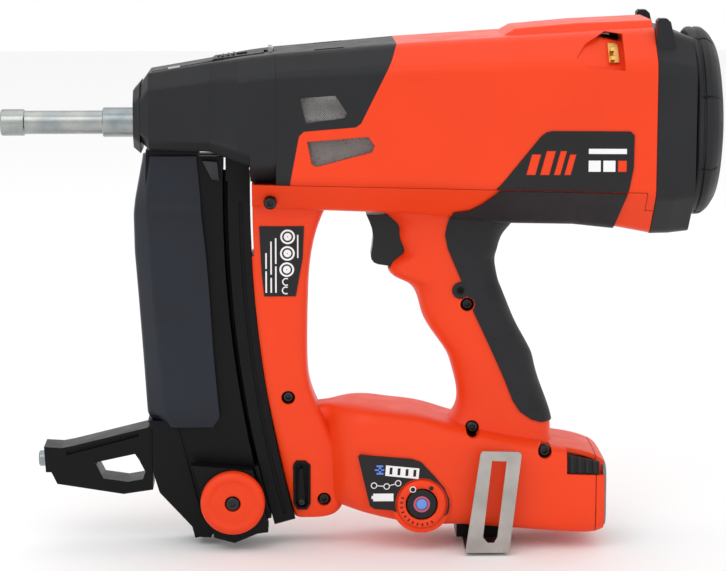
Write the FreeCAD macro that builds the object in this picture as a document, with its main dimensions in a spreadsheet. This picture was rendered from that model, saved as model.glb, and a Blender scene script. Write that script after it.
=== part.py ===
import FreeCAD, Part
import math
import os
import Sketcher
from FreeCAD import Placement, Rotation, Vector

# Gas-actuated nailer. X runs from the muzzle to the rear cap, Z is up, and -Y is the tool's left side.
# The origin is the muzzle tip on the drive axis. All sizes are in millimetres.

doc = FreeCAD.newDocument("nailer")
sheet = doc.addObject("Spreadsheet::Sheet", "Dimensions")

DIMENSIONS = {
    # Nose and probe
    "probe_tip_radius": 7.95, "probe_tip_length": 14.4, "probe_tube_radius": 7.0, "probe_neck_end": 60.6,
    "probe_collar_radius": 8.85, "probe_end": 86.0, "probe_tip_bore": 3.4, "probe_bore": 4.7,
    "probe_counterbore_start": 22.0, "guide_start": 44.0, "guide_radius": 4.6, "guide_bore": 3.3,
    "guide_end": 158.0, "block_front": 108.5, "block_rear": 142.0, "block_half_width": 13.0,
    "block_half_height": 12.0, "yoke_bar_front": 86.2, "yoke_bar_thickness": 3.0, "yoke_half_height": 4.0,
    "yoke_arm_out": 36.5, "yoke_arm_in": 34.0, "yoke_end": 304.0,
    # Drive train
    "cylinder_start": 160.0, "cylinder_end": 316.0, "cylinder_bore": 24.0, "cylinder_outer": 26.0,
    "cylinder_flange": 35.4, "piston_start": 304.0, "blade_start": 141.0, "blade_radius": 2.8,
    "sleeve_start": 304.0, "sleeve_outer": 38.0, "sleeve_inner": 35.5, "head_start": 364.0,
    "head_length": 16.0, "head_radius": 35.4, "fan_start": 338.0, "fan_radius": 26.0, "shaft_radius": 1.5,
    "shaft_clearance": 0.06, "motor_start": 382.0, "motor_radius": 14.0, "plug_radius": 4.0,
    "plug_offset_y": 18.0, "plug_offset_z": 12.0,
    # Main body
    "collar_rear": 408.0, "cap_rear": 428.9, "cap_radius": 56.4, "wall": 2.6, "part_line": 0.25,
    # Handle
    "overmould": 1.2, "screw_head_radius": 3.9,
    # Trigger
    "trigger_half_width": 6.5,
    # Magazine track, an arc about a far centre behind the tool
    "track_x": 898.0, "track_z": -44.0, "track_inner": 750.0, "rail_depth": 13.0, "rail_half_width": 14.0,
    "channel_inner": 766.0, "channel_outer": 812.0, "channel_half_width": 12.0, "nail_slot_half": 3.2,
    "cover_wall": 1.9, "pusher_face": -27.0, "knob_radius": 19.5, "knob_height": 7.0, "knob_x": 136.8,
    "knob_z": -227.1, "pusher_clearance": 0.3,
    # Foot, hook, dial, battery, latch
    "foot_half_width": 11.0, "stud_radius": 4.8, "stud_front": 18.5, "hook_face": -43.6,
    "hook_thickness": 1.6, "dial_x": 250.4, "dial_z": -227.5, "dial_radius": 15.0, "dial_face": -36.0,
    "button_radius": 9.2, "battery_split": 355.5, "battery_half_width": 24.0, "battery_front": 272.0,
    "lever_x": 178.4, "lever_z": -230.1, "cell_radius": 10.5, "cell_length": 80.0,
}

for row, (alias, amount) in enumerate(DIMENSIONS.items(), start=1):
    sheet.set("A%d" % row, alias)
    sheet.set("B%d" % row, str(amount))
    sheet.setAlias("B%d" % row, alias)
doc.recompute()

parts = {}


def dim(alias):
    """Read one driving dimension from the sheet."""
    return float(sheet.get(alias))


def amount_of(entry):
    """Number for an entry that is a number, a dimension's name, or a (name, offset) pair."""
    if isinstance(entry, tuple):
        return dim(entry[0]) + entry[1]
    if isinstance(entry, str):
        return -dim(entry[1:]) if entry.startswith("-") else dim(entry)
    return float(entry)


def formula_of(entry):
    """Expression text for the same kind of entry, or None for a plain number."""
    if isinstance(entry, tuple):
        return "Dimensions.%s + (%g)" % entry
    if isinstance(entry, str):
        return "-Dimensions." + entry[1:] if entry.startswith("-") else "Dimensions." + entry
    return None


def keep(label, item):
    """File an object under its node name."""
    item.Label = label
    parts[label] = item
    return item


def origin_item(body, role):
    """A plane or axis of a body's own origin."""
    return next(feature for feature in body.Origin.OriginFeatures if feature.Role == role)


def closed_sketch(body, plane_role, points, offset=None):
    """Polygon sketch whose corners are held by distances, each tied to the sheet where it is named there."""
    sketch = body.newObject("Sketcher::SketchObject", "outline")
    sketch.AttachmentSupport = [(origin_item(body, plane_role), "")]
    sketch.MapMode = "FlatFace"
    if offset is not None:
        sketch.AttachmentOffset = Placement(Vector(0, 0, amount_of(offset)), Rotation())
        if formula_of(offset):
            sketch.setExpression("AttachmentOffset.Base.z", formula_of(offset))
    corners = [Vector(amount_of(a), amount_of(b), 0) for a, b in points]
    count = len(corners)
    for index in range(count):
        sketch.addGeometry(Part.LineSegment(corners[index], corners[(index + 1) % count]), False)
    for index in range(count):
        sketch.addConstraint(Sketcher.Constraint("Coincident", index, 2, (index + 1) % count, 1))
    for index, (entries, corner) in enumerate(zip(points, corners)):
        for kind, entry, value in (("DistanceX", entries[0], corner.x), ("DistanceY", entries[1], corner.y)):
            number = sketch.addConstraint(Sketcher.Constraint(kind, -1, 1, index, 1, value))
            if formula_of(entry):
                sketch.setExpression("Constraints[%d]" % number, formula_of(entry))
    return sketch


def turned(label, profile, axis_role="X_Axis", plane_role="XZ_Plane", place=None):
    """Part turned about its own axis from a list of (along, radius) corners."""
    body = doc.addObject("PartDesign::Body", label)
    sketch = closed_sketch(body, plane_role, profile)
    doc.recompute()
    turn = body.newObject("PartDesign::Revolution", "turn")
    turn.Profile = sketch
    turn.ReferenceAxis = (origin_item(body, axis_role), [""])
    turn.Angle = 360
    if place is not None:
        body.Placement = place
    doc.recompute()
    return keep(label, body)


def plate(label, outline, y_low, y_high, round_over=0.0):
    """Part cut from plate: an XZ outline between two Y values, its long corners rounded over."""
    body = doc.addObject("PartDesign::Body", label)
    sketch = closed_sketch(body, "XZ_Plane", outline)
    sketch.AttachmentOffset = Placement(Vector(0, 0, -amount_of(y_high)), Rotation())
    if formula_of(y_high):
        sketch.setExpression("AttachmentOffset.Base.z", "-(%s)" % formula_of(y_high))
    doc.recompute()
    pad = body.newObject("PartDesign::Pad", "pad")
    pad.Profile = sketch
    pad.Length = amount_of(y_high) - amount_of(y_low)
    low = formula_of(y_low) or str(amount_of(y_low))
    high = formula_of(y_high) or str(amount_of(y_high))
    if formula_of(y_low) or formula_of(y_high):
        pad.setExpression("Length", "%s - (%s)" % (high, low))
    doc.recompute()
    if round_over > 0:
        edges = []
        for index, edge in enumerate(pad.Shape.Edges, start=1):
            first = edge.Vertexes[0].Point
            last = edge.Vertexes[-1].Point
            if abs(first.x - last.x) < 1e-6 and abs(first.z - last.z) < 1e-6:
                edges.append("Edge%d" % index)
        fillet = body.newObject("PartDesign::Fillet", "rounding")
        fillet.Base = (pad, edges)
        fillet.Radius = round_over
        doc.recompute()
    return keep(label, body)


def shaped(label, shape, place=None):
    """Moulded part whose form is worked out in code from the sheet's dimensions."""
    item = doc.addObject("Part::Feature", label)
    item.Shape = shape
    if place is not None:
        item.Placement = place
    return keep(label, item)


def prism(outline, y_low, y_high):
    """Solid between two Y values over an XZ outline."""
    corners = [Vector(a, y_low, b) for a, b in outline]
    face = Part.Face(Part.makePolygon(corners + [corners[0]]))
    return face.extrude(Vector(0, y_high - y_low, 0))


def block(x0, x1, y0, y1, z0, z1):
    """Rectangular solid from its limits."""
    return Part.makeBox(x1 - x0, y1 - y0, z1 - z0, Vector(x0, y0, z0))


def rod(start, end, radius):
    """Round bar between two points."""
    direction = end - start
    return Part.makeCylinder(radius, direction.Length, start, direction)


def smooth_ring(axis, position, low, high, half_y, power):
    """Closed superellipse curve in a plane of constant X or constant Z."""
    centre = (low + high) / 2
    half = (high - low) / 2
    points = []
    for step in range(32):
        angle = 2 * math.pi * (step + 0.5) / 32
        along = math.copysign(abs(math.cos(angle)) ** (2 / power), math.cos(angle))
        across = math.copysign(abs(math.sin(angle)) ** (2 / power), math.sin(angle))
        if axis == "X":
            points.append(Vector(position, half_y * across, centre + half * along))
        else:
            points.append(Vector(centre + half * along, half_y * across, position))
    curve = Part.BSplineCurve()
    curve.interpolate(Points=points, PeriodicFlag=True)
    return Part.Wire(curve.toShape())


def smooth_loft(axis, sections, grow=0.0):
    """Smooth solid through superellipse sections, each grown by the same margin."""
    wires = []
    for position, low, high, half_y, power in sections:
        wires.append(smooth_ring(axis, position, low - grow, high + grow, half_y + grow, power))
    return Part.makeLoft(wires, True, False)


def octagon(x, half, low, high, top_cut, bottom_cut, radius):
    """Eight-sided section with rounded corners in a plane of constant X."""
    corners = [
        (half - top_cut, high), (half, high - top_cut), (half, low + bottom_cut), (half - bottom_cut, low),
        (-half + bottom_cut, low), (-half, low + bottom_cut), (-half, high - top_cut), (-half + top_cut, high),
    ]
    points = [Vector(x, y, z) for y, z in corners]
    count = len(points)
    trims = []
    for index in range(count):
        before = (points[index - 1] - points[index]).normalize()
        after = (points[(index + 1) % count] - points[index]).normalize()
        half_angle = before.getAngle(after) / 2
        setback = radius / math.tan(half_angle)
        start = points[index] + before * setback
        end = points[index] + after * setback
        centre = points[index] + (before + after).normalize() * (radius / math.sin(half_angle))
        middle = centre + (points[index] - centre).normalize() * radius
        trims.append((start, middle, end))
    edges = []
    for index in range(count):
        edges.append(Part.Arc(*trims[index]).toShape())
        edges.append(Part.LineSegment(trims[index][2], trims[(index + 1) % count][0]).toShape())
    return Part.Wire(edges)


def body_form(stations, grow=0.0):
    """Ruled solid through octagonal stations (x, half width, low, high, cuts, radius), grown by a margin."""
    wires = []
    for x, half, low, high, top_cut, bottom_cut, radius in stations:
        slack = 0.586 * grow
        wires.append(octagon(x, half + grow, low - grow, high + grow, top_cut + slack, bottom_cut + slack,
                             max(radius + grow, 1.5)))
    return Part.makeLoft(wires, True, True)


def track_point(radius, degrees):
    """Point in XZ on the magazine track's arc, counted downwards from the level of its centre."""
    angle = math.radians(degrees)
    return dim("track_x") - radius * math.cos(angle), dim("track_z") - radius * math.sin(angle)


def track_slab(inner, outer, start, end, y_low, y_high):
    """Curved slab of the magazine track between two radii and two angles."""
    near_x, near_z = track_point(inner, start)
    far_x, far_z = track_point(outer, start)
    corners = [Vector(near_x, y_low, near_z), Vector(far_x, y_low, far_z), Vector(far_x, y_high, far_z),
               Vector(near_x, y_high, near_z)]
    section = Part.Face(Part.makePolygon(corners + corners[:1]))
    return section.revolve(Vector(dim("track_x"), 0, dim("track_z")), Vector(0, -1, 0), end - start)


def mirrored(shape):
    """The same shape on the other side of the tool."""
    return shape.mirror(Vector(0, 0, 0), Vector(0, 1, 0))


LEFT = block(-50, 600, -200, 0, -400, 200)
RIGHT = block(-50, 600, 0, 200, -400, 200)


def halves(label, shape):
    """Split a moulding on the tool's middle plane into its left and right halves."""
    shaped(label + "_left", shape.cut(RIGHT))
    shaped(label + "_right", shape.cut(LEFT))


# Nose: probe, guide, block, yoke and spring

turned("probe_tube", [
    (0, "probe_tip_bore"), (0, ("probe_tip_radius", -0.7)), (0.7, "probe_tip_radius"),
    (("probe_tip_length", -0.8), "probe_tip_radius"), ("probe_tip_length", "probe_tube_radius"),
    ("probe_neck_end", "probe_tube_radius"), ("probe_neck_end", ("probe_collar_radius", -0.6)),
    (("probe_neck_end", 0.6), "probe_collar_radius"), ("probe_end", "probe_collar_radius"),
    ("probe_end", "probe_bore"), ("probe_counterbore_start", "probe_bore"),
    ("probe_counterbore_start", "probe_tip_bore"),
])

guide = turned("nose_guide", [
    ("guide_start", "guide_bore"), ("guide_start", "guide_radius"), (("block_front", 0.0), "guide_radius"),
    ("block_front", 7.0), ("guide_end", 7.0), ("guide_end", "guide_bore"),
])
feed_sketch = closed_sketch(guide, "XY_Plane", [
    (("block_front", 3.0), "-nail_slot_half"), (("block_rear", -3.0), "-nail_slot_half"),
    (("block_rear", -3.0), "nail_slot_half"), (("block_front", 3.0), "nail_slot_half")])
doc.recompute()
feed_slot = guide.newObject("PartDesign::Pocket", "feed_slot")
feed_slot.Profile = feed_sketch
feed_slot.Length = 10
feed_slot.Reversed = False
doc.recompute()

# The cast block carries the guide and lets the nails in from below.
nose_block = block(dim("block_front"), dim("block_rear"), -dim("block_half_width"), dim("block_half_width"),
                   -dim("block_half_height"), dim("block_half_height"))
nose_block = nose_block.cut(rod(Vector(100, 0, 0), Vector(150, 0, 0), 7.02))
nose_block = nose_block.cut(block(dim("block_front") + 3, dim("block_rear") - 3, -dim("nail_slot_half"),
                                  dim("nail_slot_half"), -30, 0))
shaped("nose_block", nose_block)

bar_front = dim("yoke_bar_front")
bar_rear = bar_front + dim("yoke_bar_thickness")
arm_out = dim("yoke_arm_out")
arm_in = dim("yoke_arm_in")
arm = [(bar_front, 0), (bar_front, 21.4), (118, 21.4), (139, arm_out), (dim("yoke_end"), arm_out),
       (dim("yoke_end"), arm_in), (140, arm_in), (119, 19.2), (bar_rear, 19.2), (bar_rear, 0)]
half_yoke = Part.Face(Part.makePolygon([Vector(a, b, -dim("yoke_half_height")) for a, b in arm + arm[:1]]))
half_yoke = half_yoke.extrude(Vector(0, 0, 2 * dim("yoke_half_height")))
yoke = half_yoke.fuse(mirrored(half_yoke)).removeSplitter()
yoke = yoke.fuse(rod(Vector(bar_front, 0, 0), Vector(bar_rear, 0, 0), dim("probe_collar_radius")))
yoke = yoke.cut(rod(Vector(bar_front - 1, 0, 0), Vector(bar_rear + 1, 0, 0), dim("guide_radius") + 0.3))
shaped("linkage_yoke", yoke.removeSplitter())


def coil(radius, wire, length, turns):
    """Helical spring standing along +Z, later laid over by its placement."""
    rise = (length - 2 * wire) / turns
    points = []
    for step in range(12 * turns + 1):
        angle = 2 * math.pi * step / 12
        points.append(Vector(radius * math.cos(angle), radius * math.sin(angle), rise * step / 12))
    line = Part.BSplineCurve()
    line.interpolate(points)
    section = Part.Wire(Part.makeCircle(wire, points[0], line.tangent(0)[0]))
    return Part.Wire(line.toShape()).makePipeShell([section], True, False)


spring_room = dim("block_front") - bar_rear
laid_over = Rotation(Vector(0, 1, 0), 90)
shaped("probe_spring", coil(8.0, 0.75, spring_room - 0.8, 4), Placement(Vector(bar_rear + 1.15, 0, 0), laid_over))

# Drive train

turned("cylinder", [
    ("cylinder_start", 3.4), ("cylinder_start", "cylinder_outer"),
    (("cylinder_end", 0.0), "cylinder_outer"), ("cylinder_end", "cylinder_flange"),
    (("cylinder_end", 10.0), "cylinder_flange"), (("cylinder_end", 10.0), "cylinder_bore"),
    (("cylinder_start", 2.0), "cylinder_bore"), (("cylinder_start", 2.0), 3.4),
])
turned("cylinder_bumper", [
    (("cylinder_start", 2.0), 4.0), (("cylinder_start", 2.0), ("cylinder_bore", 0.0)),
    (("cylinder_start", 8.0), ("cylinder_bore", -1.5)), (("cylinder_start", 8.0), 4.0),
])
turned("piston", [
    ("piston_start", "blade_radius"), ("piston_start", ("cylinder_bore", -1.2)),
    (("piston_start", 3.0), ("cylinder_bore", -1.2)), (("piston_start", 3.0), ("cylinder_bore", -0.05)),
    (("piston_start", 5.0), ("cylinder_bore", -0.05)), (("piston_start", 5.0), ("cylinder_bore", -1.2)),
    (("piston_start", 7.0), ("cylinder_bore", -1.2)), (("piston_start", 7.0), ("cylinder_bore", -0.05)),
    (("piston_start", 10.0), ("cylinder_bore", -0.05)), (("piston_start", 10.0), "blade_radius"),
])
turned("driver_blade", [
    ("blade_start", 0), ("blade_start", ("blade_radius", -0.4)), (("blade_start", 0.6), "blade_radius"),
    (("piston_start", 10.0), "blade_radius"), (("piston_start", 10.0), 0),
])
turned("combustion_sleeve", [
    ("sleeve_start", "sleeve_inner"), ("sleeve_start", "sleeve_outer"),
    (("sleeve_start", 58.0), "sleeve_outer"), (("sleeve_start", 58.0), "sleeve_inner"),
])

# Cylinder head as a boolean of primitives: a disc with a shaft hole and a spark-plug hole.
disc = doc.addObject("Part::Cylinder", "head_disc")
shaft_hole = doc.addObject("Part::Cylinder", "head_shaft_hole")
plug_hole = doc.addObject("Part::Cylinder", "head_plug_hole")
for item, radius, length, start in (
        (disc, "Dimensions.head_radius", "Dimensions.head_length", "Dimensions.head_start"),
        (shaft_hole, "Dimensions.shaft_radius + Dimensions.shaft_clearance", "Dimensions.head_length + 2",
         "Dimensions.head_start - 1"),
        (plug_hole, "Dimensions.plug_radius", "Dimensions.head_length + 2", "Dimensions.head_start - 1")):
    item.Placement = Placement(Vector(0, 0, 0), Rotation(Vector(0, 1, 0), 90))
    item.setExpression("Radius", radius)
    item.setExpression("Height", length)
    item.setExpression("Placement.Base.x", start)
plug_hole.setExpression("Placement.Base.y", "Dimensions.plug_offset_y")
plug_hole.setExpression("Placement.Base.z", "Dimensions.plug_offset_z")
holes = doc.addObject("Part::MultiFuse", "head_holes")
holes.Shapes = [shaft_hole, plug_hole]
head = doc.addObject("Part::Cut", "cylinder_head")
head.Base = disc
head.Tool = holes
doc.recompute()
keep("cylinder_head", head)

turned("spark_plug", [
    (("head_start", -5.0), 0), (("head_start", -5.0), 1.2), (("head_start", 0.0), 1.2),
    ("head_start", "plug_radius"), (("head_start", 16.0), "plug_radius"), (("head_start", 16.0), 6.0),
    (("head_start", 21.0), 6.0), (("head_start", 21.0), 3.0), (("head_start", 30.0), 3.0),
    (("head_start", 30.0), 0),
], place=Placement(Vector(0, dim("plug_offset_y"), dim("plug_offset_z")), Rotation()))
turned("fan_motor", [
    (("motor_start", -2.0), 2.2), (("motor_start", -2.0), 6.0), ("motor_start", 6.0),
    ("motor_start", "motor_radius"), (("motor_start", 18.0), "motor_radius"),
    (("motor_start", 18.0), 4.0), (("motor_start", 20.0), 4.0), (("motor_start", 20.0), 0),
    (("motor_start", 14.0), 0), (("motor_start", 14.0), 2.2),
])

fan = rod(Vector(dim("fan_start"), 0, 0), Vector(dim("motor_start") + 12, 0, 0), dim("shaft_radius"))
fan = fan.fuse(rod(Vector(dim("fan_start"), 0, 0), Vector(dim("fan_start") + 9, 0, 0), 5.0))
for index in range(5):
    blade = Part.makeBox(1.4, 8.5, dim("fan_radius") - 3, Vector(-0.7, -4.25, 3))
    blade.rotate(Vector(0, 0, 0), Vector(0, 0, 1), 32)
    blade.translate(Vector(dim("fan_start") + 4.5, 0, 0))
    blade.rotate(Vector(0, 0, 0), Vector(1, 0, 0), 72 * index)
    fan = fan.fuse(blade)
shaped("chamber_fan", fan.removeSplitter())

# Main body and handle forms

NOSE = [
    (84, 25, -10, 24, 9, 6, 4), (89, 29.5, -14, 31, 9, 6, 4), (125, 31, -15.5, 37, 10, 7, 4),
    (142, 43, -21, 40, 12, 9, 6), (148.4, 43.8, -23.4, 41, 12, 9, 6), (148.9, 43.8, -32.2, 41.1, 12, 11, 6),
    (164, 45, -32.6, 43, 12, 12, 7),
]
BARREL = [
    (164, 45, -49.5, 43, 12, 20, 8), (238, 49, -52.2, 49.2, 14, 22, 9), (300, 53, -57, 53, 16, 24, 10),
    (340, 55.4, -57.6, 55.4, 17.9, 24.9, 10.9), (366, 56.9, -60.4, 56.9, 19.1, 25.5, 11.5),
    (385, 58, -64, 58, 20, 26, 12),
]
RAIL_TOP = [(148.4, 44, -48, 10, 12, 18, 7)] + BARREL
SEAM = [(120, -32.9), (150, -33.1), (239, -34.8), (380, -36.8), (380, -48.4), (420, -48.4)]
SPLIT_LINE = [(239, 120), (239, 62), (231.6, 39.9), (213.5, 3.4), (210.5, 1.3), (180.2, -1.3), (177.4, -4.2),
              (172.3, -31), (172, -60)]
GRIP = [
    (-46, 227, 314, 24, 2.6), (-58, 232.6, 306.5, 19.5, 2.5), (-66, 236.4, 300.5, 17.8, 2.4),
    (-73, 238, 297, 17.3, 2.4), (-81, 236.4, 294.8, 17.2, 2.4), (-87, 231.2, 294.8, 17.2, 2.5),
    (-91.5, 232.4, 295.6, 17.2, 2.5), (-97, 242, 297, 17.2, 2.4), (-103, 247.6, 299.4, 17.2, 2.4),
    (-112, 250.4, 303, 17.2, 2.4), (-126, 256.8, 309.4, 17.4, 2.4), (-150, 270, 319.6, 17.6, 2.4),
    (-166, 273.2, 325, 18, 2.6), (-182, 266, 330, 19, 3.0), (-200, 240, 336, 22, 3.4),
]
POST = [
    (-38, 146.8, 205, 19, 3.6), (-52, 147, 193, 17.5, 4.5), (-75, 147.4, 185.4, 17, 5),
    (-105, 149, 182.7, 17, 5), (-135, 152.6, 182.2, 17, 5), (-160, 156.2, 184.4, 17, 5),
    (-180, 160, 193, 17, 5), (-205, 165, 205, 17, 4.5), (-228, 170.5, 205, 17, 4.5), (-236, 172.8, 202, 16.5, 4.5),
    (-240, 174.5, 190, 15, 4.5),
]
BASE = [
    (181, -238, -172, 15, 4.5), (198, -232.5, -170.3, 18, 4.5), (206, -234, -169.5, 27, 4.5),
    (214, -236, -169.6, 31, 5), (232, -240, -172, 32.5, 6), (251, -243, -175, 33, 6.5),
    (270, -243, -181, 33, 7),
    (300, -245, -188, 33, 7), (330, -247.5, -193.5, 33, 7), (352, -248.3, -198, 33, 7), (361, -246, -203, 31.5, 7),
]


def handle_form(grow=0.0):
    """Rail under the barrel that carries the grip and the post, grown by a margin."""
    return body_form(RAIL_TOP, grow).common(prism(SEAM + [(420, -200), (120, -200)], -90, 90))


def grip_form(grow=0.0):
    """Oval grip column, grown by a margin."""
    return smooth_loft("Z", GRIP, grow)


def open_track(margin):
    """Everything in front of a curve that lies a margin behind the magazine rail."""
    return track_slab(dim("track_inner") - margin, 900, -12, 25, -90, 90)


barrel = body_form(BARREL)
barrel_hollow = body_form([(x - 30 if x == 164 else x + 30 if x == 385 else x, *rest) for x, *rest in BARREL],
                          -dim("wall"))
upper_side = prism([(a + dim("part_line") if a == 380 else a, b + dim("part_line")) for a, b in SEAM]
                   + [(420, 200), (120, 200)], -90, 90)
hump = body_form([(297, 30, 40, 52.4, 6, 2, 1.6), (305, 31, 40, 57, 8, 2, 3), (340, 33, 40, 60, 9, 2, 3),
                  (385, 36, 40, 62, 10, 2, 3)])
upper = barrel.fuse(hump).cut(barrel_hollow).common(upper_side)
rear_mask = prism(SPLIT_LINE + [(450, -60), (450, 120)], -90, 90)
front_mask = prism(SPLIT_LINE + [(100, -60), (100, 120)], -90, 90)

cylinder_shell = upper.common(front_mask)
chamber_shell = upper.common(rear_mask)


def near_side(outline, depth_in, depth_out):
    """Cutter on both sides of the tool over an XZ outline, between two distances from the middle plane."""
    cutter = prism(outline, -depth_out, -depth_in)
    return cutter.fuse(mirrored(cutter))


UPPER_VENT = [(178, 18.2), (198.6, 19.7), (205.6, 9.4), (204, 6.6), (181.6, 3.4)]
LOWER_VENT = [(182.2, -7.3), (217.8, -4.3), (221.6, -9.5), (219.8, -13.4), (187.6, -22), (184.8, -20.4)]
RECESS = [(186, 52), (204, 53.5), (204, 44), (187, 42.5)]
SCOOP = [(338, 41), (346, 36.5), (366, 34.5), (366, 54.5), (356, 56), (344, 49)]
SCOOP_FLOOR = [(330, 56.4, -60, 56.4, 17.4, 20, 3), (338, 55.1, -60, 55.1, 17.7, 20, 3),
               (366, 49.9, -60, 49.9, 15, 20, 3), (374, 48.4, -60, 48.4, 14.2, 20, 3)]


def scoop_floor(grow=0.0):
    """Wedge that leaves the scoop shallow in front and deep behind, grown by a margin."""
    return body_form(SCOOP_FLOOR, grow)


cylinder_shell = cylinder_shell.cut(near_side(UPPER_VENT, 30, 60))
cylinder_shell = cylinder_shell.cut(near_side(RECESS, 24, 31))
chamber_shell = chamber_shell.cut(near_side(LOWER_VENT, 30, 60))
liner = body_form(BARREL, -2.0).cut(body_form(BARREL, -10.0))
liner = liner.common(near_side([(333, 31), (371, 31), (371, 59), (333, 59)], 20, 70))
chamber_shell = chamber_shell.fuse(liner).cut(near_side(SCOOP, 20, 70).cut(scoop_floor()))
shaped("cylinder_housing", cylinder_shell)
shaped("chamber_housing", chamber_shell)

mesh_pieces = []
for outline in (UPPER_VENT, LOWER_VENT):
    centre_x = sum(point[0] for point in outline) / len(outline)
    centre_z = sum(point[1] for point in outline) / len(outline)
    lap = [(centre_x + (a - centre_x) * 1.12, centre_z + (b - centre_z) * 1.2) for a, b in outline]
    sheet_piece = body_form(BARREL, -dim("wall") - 0.1).cut(body_form(BARREL, -dim("wall") - 0.9))
    mesh_pieces.append(sheet_piece.common(prism(lap, -70, -20)))
shaped("vent_meshes", Part.makeCompound(mesh_pieces + [mirrored(piece) for piece in mesh_pieces]))

# Brass contact inserts lie on the floors of the two side scoops.
insert = block(357.4, 363.6, -60, -30, 38.8, 49.4).common(scoop_floor(1.6))
insert = insert.fuse(block(358.4, 361, -60, -30, 40.6, 42.6).common(scoop_floor(4.4)))
insert = insert.fuse(block(358.4, 361, -60, -30, 45.4, 47.4).common(scoop_floor(4.4))).cut(scoop_floor(0.03))
shaped("contact_inserts", Part.makeCompound([insert, mirrored(insert)]))

nose_shell = body_form(NOSE)
nose_hollow = body_form([(86, *NOSE[0][1:])] + NOSE[1:-1] + [(200, *NOSE[-1][1:])], -dim("wall"))
nose_shell = nose_shell.cut(nose_hollow)
nose_shell = nose_shell.cut(rod(Vector(60, 0, 0), Vector(100, 0, 0), dim("probe_collar_radius") + 0.35))
cover_line = [(91, 31.6), (125.9, 37.6), (127.7, 38.8), (157, 42.7)]
cover_outline = cover_line + [(157, 39.6), (128, 35.6), (91, 29.3)]
cover_room = [(a, b + 3) for a, b in cover_line] + [(157.3, 46), (157.3, 39.5), (128, 35.5), (90.7, 29.1), (90.7, 36)]
nose_shell = nose_shell.cut(prism(cover_room, -15.3, 15.3))
nose_shell = nose_shell.cut(block(110, 141, -13, 13, -40, -8)).cut(handle_form(0.3))
clip_room = block(157.2, 162.8, -9.3, 9.3, 37.0, 50)
nose_shell = nose_shell.cut(clip_room)
shaped("front_housing", nose_shell)

nose_cover = prism(cover_outline, -15, 15).cut(block(129.5, 147, -8.4, 8.4, 30, 50))
shaped("nose_cover", nose_cover)
plate("release_slider", [(130.2, 36.9), (141.2, 38.4), (141.2, 39.6), (139, 41.6), (137.5, 39.7), (135.8, 41.0),
                         (134.3, 39.2), (132.6, 40.4), (130.2, 38.4)], -8, 8)
plate("nose_clip", [(157.6, 37.4), (162.4, 37.4), (162.4, 44.4), (161.2, 45.4), (159.4, 45.4), (159.4, 41),
                    (157.6, 40.6)], -8.8, 8.8)

nose_ring = body_form([(79.5, 19, -14, 20, 7, 7, 3), (83.9, 24, -17, 25, 8, 7, 3)])
nose_ring = nose_ring.cut(rod(Vector(60, 0, 0), Vector(100, 0, 0), dim("probe_collar_radius") + 0.35))
shaped("nose_plate", nose_ring)

# Rear collar with its two pairs of lugs, and the screwed air-filter cap

collar_stations = [(385.25, 58, -64.4, 58, 20, 26, 12), (396, 58, -64.2, 56, 20, 26, 12),
                   (408, 57.4, -62.8, 52, 18, 26, 10)]
collar = body_form(collar_stations)
collar = collar.cut(body_form([(x - 2 if x < 390 else x + 2 if x > 400 else x, *rest)
                               for x, *rest in collar_stations], -3.0).common(block(380, 397, -90, 90, -90, 90)))
collar = collar.cut(rod(Vector(380, 0, 0), Vector(420, 0, 0), 49.0))
for side in (-1, 1):
    lug = prism([(385.25, 35), (385.25, 62.5), (386.6, 64), (391, 64), (393.2, 62), (396.5, 48), (396.5, 35)], 40, 48)
    collar = collar.fuse(lug if side > 0 else mirrored(lug))
shaped("rear_collar", collar.removeSplitter())

turned("rear_cap", [
    (("collar_rear", 0.3), 41.0), (("collar_rear", 0.3), ("cap_radius", -1.5)),
    (("collar_rear", 1.6), "cap_radius"), (("cap_rear", -11.5), "cap_radius"),
    (("cap_rear", -9.4), ("cap_radius", -0.9)), (("cap_rear", -6.4), ("cap_radius", -3.4)),
    (("cap_rear", -3.6), ("cap_radius", -8.4)), (("cap_rear", -1.6), ("cap_radius", -17.0)),
    (("cap_rear", -0.4), ("cap_radius", -32.0)), ("cap_rear", 0), (("cap_rear", -3.0), 0),
    (("cap_rear", -3.0), 36.0), (("cap_rear", -6.0), 41.0),
])
turned("air_filter", [
    (("collar_rear", 5.0), 0), (("collar_rear", 5.0), 40.6), (("cap_rear", -6.3), 40.6), (("cap_rear", -3.3), 35.6),
    (("cap_rear", -3.3), 0),
])

# Handle mouldings

rail = handle_form()
dial_x = dim("dial_x")
dial_z = dim("dial_z")
boss = rod(Vector(dial_x, -33.6, dial_z), Vector(dial_x, -4, dial_z), dim("dial_radius") + 3.0)
rail_hollow = body_form([(120, *RAIL_TOP[0][1:])] + RAIL_TOP[:-1] + [(430, *RAIL_TOP[-1][1:])], -dim("wall"))
rail_hollow = rail_hollow.common(prism([(151.5, 0), (151.5, -200), (382.5, -200), (420, -200), (420, 0)], -90, 90))
grip_hollow = smooth_loft("Z", GRIP, -dim("wall"))
post_hollow = smooth_loft("Z", POST, -dim("wall"))
base_hollow = smooth_loft("X", BASE, -dim("wall"))
hollow = rail_hollow.fuse([grip_hollow, post_hollow, base_hollow]).cut(open_track(0.3 + dim("wall")))
trigger_half = dim("trigger_half_width") + 0.4
trigger_room = block(226, 258, -trigger_half, trigger_half, -88.2, -45)
battery_line = dim("battery_split")
battery_mask = block(battery_line, 400, -60, 60, -300, -150)
LATCH_WINDOW = [(338, -190), (338, -210.2), (400, -213), (400, -190)]


def frame_shell(forms):
    """Left half of the hollow handle frame with its openings, from the forms joined to the rail."""
    shell = rail.fuse(forms).cut(open_track(0.3)).cut(track_slab(748.4, 752, -3, 2.7, -90, 90))
    shell = shell.cut(hollow).cut(trigger_room).cut(battery_mask)
    return shell.cut(near_side(LATCH_WINDOW, 25.5, 60)).cut(RIGHT)


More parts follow.
